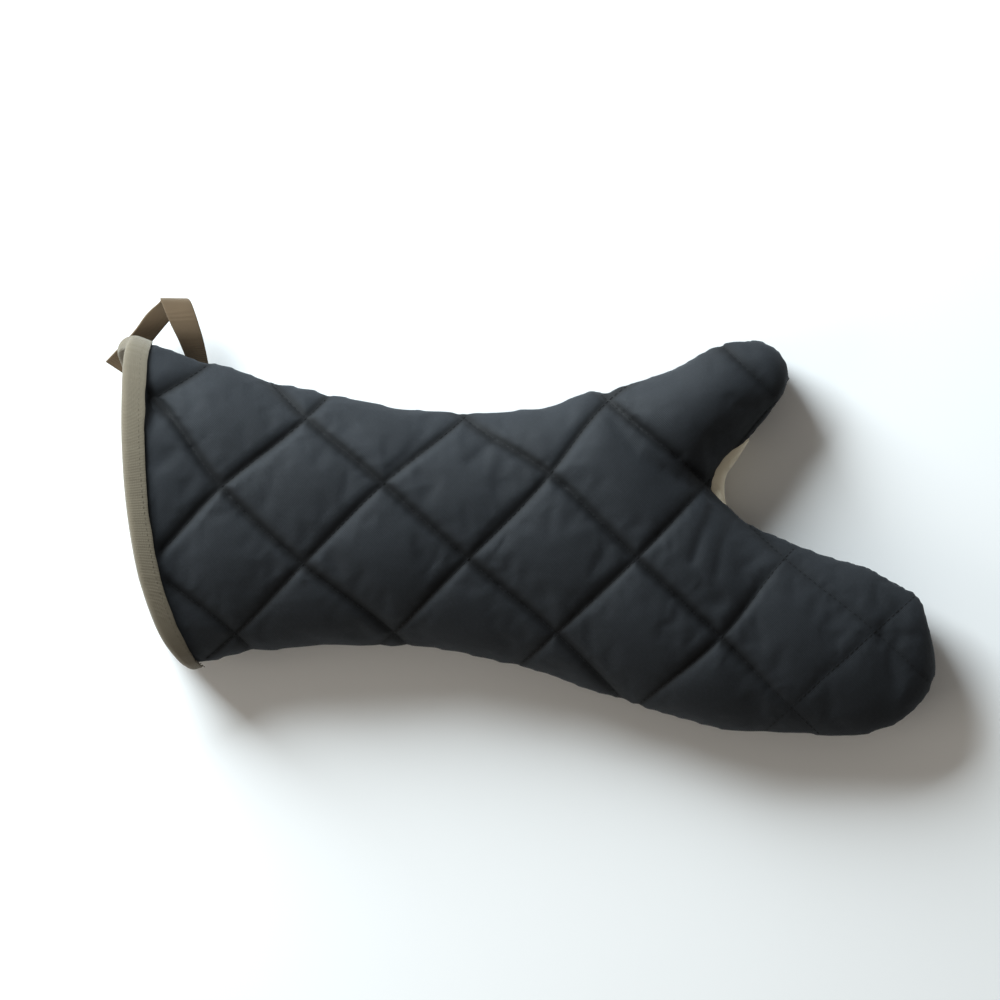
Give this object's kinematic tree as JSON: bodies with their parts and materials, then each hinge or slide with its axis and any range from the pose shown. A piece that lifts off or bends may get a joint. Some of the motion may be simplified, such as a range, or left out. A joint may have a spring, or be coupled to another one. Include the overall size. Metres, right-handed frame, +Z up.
{
  "type": "elbow length oven mitt",
  "caption": "Elbow length oven mitt of diamond-quilted padded cloth, lying on its palm side, with a bound cuff, a hanging loop at the cuff and a tape guard in the thumb's crotch.",
  "frame": {"origin": "on the surface that the mitt lies on, under the middle of its box", "axes": "+X from the cuff to the fingers, +Y towards the thumb's side, +Z up from the surface, so the back of the hand is on top"},
  "size_m": [0.4414, 0.2328, 0.0627],
  "materials": {
    "quilted_cloth": "matte charcoal woven cotton, quilted in diamonds over padding",
    "binding_tape": "matte grey-tan woven cotton tape, folded and stitched",
    "loop_tape": "matte brown-tan woven cotton tape",
    "guard_tape": "matte cream woven tape"
  },
  "bodies": {
    "root": {"back_panel": "quilted_cloth", "palm_panel": "quilted_cloth", "cuff_binding": "binding_tape", "hang_loop": "loop_tape", "thumb_web_guard": "guard_tape"}
  },
  "joints": []
}
